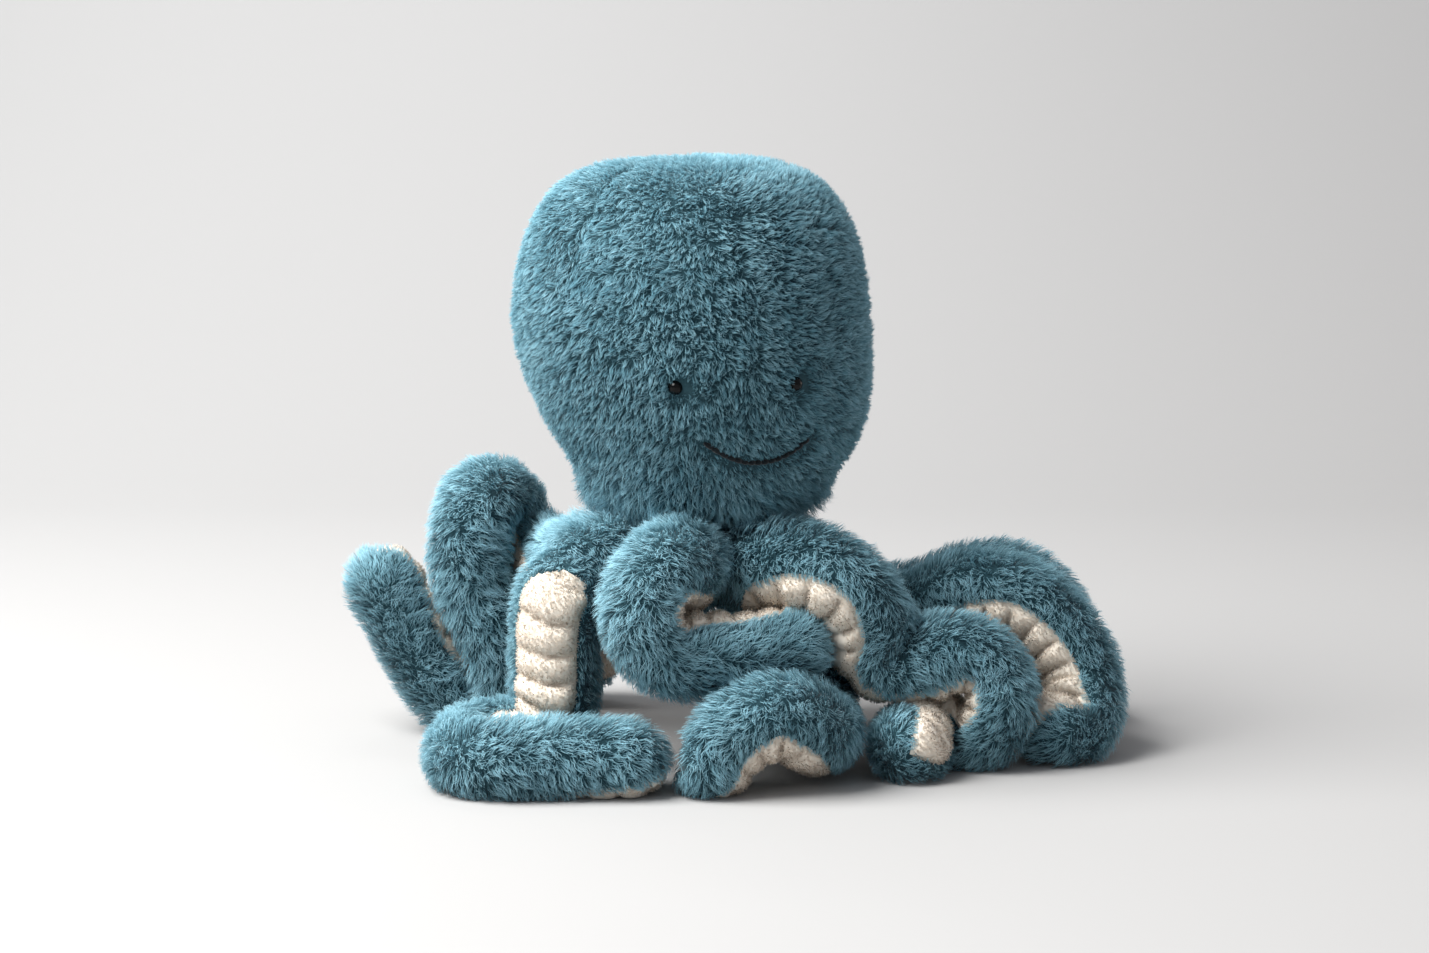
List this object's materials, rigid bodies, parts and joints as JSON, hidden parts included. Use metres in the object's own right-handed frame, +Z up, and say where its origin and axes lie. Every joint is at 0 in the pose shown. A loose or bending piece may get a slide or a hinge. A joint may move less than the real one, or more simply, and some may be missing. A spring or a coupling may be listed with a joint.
{
  "type": "plush octopus",
  "caption": "Stuffed plush octopus with a round head, bead eyes, a stitched smile and eight curled arms with gathered cream undersides.",
  "frame": {"origin": "on the floor at the middle of the footprint of the lying toy", "axes": "+Z up, the face looks along -Y, +X is to the right as seen by someone who faces the toy"},
  "size_m": [0.3869, 0.2742, 0.296],
  "materials": {
    "blue_long_pile": "long plush pile, about 9 mm, brushed and tufted, matt",
    "cream_short_pile": "short dense plush pile, about 3 mm, gathered, matt",
    "white_filling": "soft polyester fibre",
    "black_bead": "polished",
    "white_washer": "moulded, matt",
    "dark_thread": "twisted embroidery thread, satin"
  },
  "bodies": {
    "hub": {"hub_filling": "white_filling", "base_disc": "cream_short_pile", "neck_collar": "blue_long_pile"},
    "head": {"face_panel": "blue_long_pile", "side_panel_right": "blue_long_pile", "back_panel": "blue_long_pile", "side_panel_left": "blue_long_pile", "crown_panel": "blue_long_pile", "head_filling": "white_filling", "eye_left": "black_bead", "eye_right": "black_bead", "eye_washer_left": "white_washer", "eye_washer_right": "white_washer", "mouth_thread": "dark_thread"},
    "arm_front_left": {"arm_front_left_upper": "blue_long_pile", "arm_front_left_under": "cream_short_pile", "arm_front_left_filling": "white_filling"},
    "arm_front_right": {"arm_front_right_upper": "blue_long_pile", "arm_front_right_under": "cream_short_pile", "arm_front_right_filling": "white_filling"},
    "arm_right_front": {"arm_right_front_upper": "blue_long_pile", "arm_right_front_under": "cream_short_pile", "arm_right_front_filling": "white_filling"},
    "arm_right_back": {"arm_right_back_upper": "blue_long_pile", "arm_right_back_under": "cream_short_pile", "arm_right_back_filling": "white_filling"},
    "arm_back_right": {"arm_back_right_upper": "blue_long_pile", "arm_back_right_under": "cream_short_pile", "arm_back_right_filling": "white_filling"},
    "arm_back_left": {"arm_back_left_upper": "blue_long_pile", "arm_back_left_under": "cream_short_pile", "arm_back_left_filling": "white_filling"},
    "arm_left_back": {"arm_left_back_upper": "blue_long_pile", "arm_left_back_under": "cream_short_pile", "arm_left_back_filling": "white_filling"},
    "arm_left_front": {"arm_left_front_upper": "blue_long_pile", "arm_left_front_under": "cream_short_pile", "arm_left_front_filling": "white_filling"}
  },
  "joints": [
    {"name": "neck_nod", "type": "hinge", "parent": "hub", "child": "head", "pos_m": [-0.03739, -0.01267, 0.106], "axis": [1, 0, 0], "range_deg": [-5, 5], "stiffness_Nm_per_rad": 4},
    {"name": "arm_front_left_lift", "type": "hinge", "parent": "hub", "child": "arm_front_left", "pos_m": [-0.0486, -0.03974, 0.1205], "axis": [-0.9239, 0.3827, 0], "range_deg": [0, 12]},
    {"name": "arm_front_right_lift", "type": "hinge", "parent": "hub", "child": "arm_front_right", "pos_m": [-0.02617, -0.03974, 0.1205], "axis": [-0.9239, -0.3827, 0], "range_deg": [0, 12]},
    {"name": "arm_right_front_lift", "type": "hinge", "parent": "hub", "child": "arm_right_front", "pos_m": [-0.01032, -0.02389, 0.1205], "axis": [-0.3827, -0.9239, 0], "range_deg": [0, 3]},
    {"name": "arm_right_back_lift", "type": "hinge", "parent": "hub", "child": "arm_right_back", "pos_m": [-0.01032, -0.00146, 0.1205], "axis": [0.3827, -0.9239, 0], "range_deg": [0, 12]},
    {"name": "arm_back_right_lift", "type": "hinge", "parent": "hub", "child": "arm_back_right", "pos_m": [-0.02617, 0.0144, 0.1205], "axis": [0.9239, -0.3827, 0], "range_deg": [0, 12]},
    {"name": "arm_back_left_lift", "type": "hinge", "parent": "hub", "child": "arm_back_left", "pos_m": [-0.0486, 0.0144, 0.1205], "axis": [0.9239, 0.3827, 0], "range_deg": [0, 8]},
    {"name": "arm_left_back_lift", "type": "hinge", "parent": "hub", "child": "arm_left_back", "pos_m": [-0.06446, -0.00146, 0.1205], "axis": [0.3827, 0.9239, 0], "range_deg": [0, 12]},
    {"name": "arm_left_front_lift", "type": "hinge", "parent": "hub", "child": "arm_left_front", "pos_m": [-0.06446, -0.02389, 0.1205], "axis": [-0.3827, 0.9239, 0], "range_deg": [0, 12]}
  ]
}
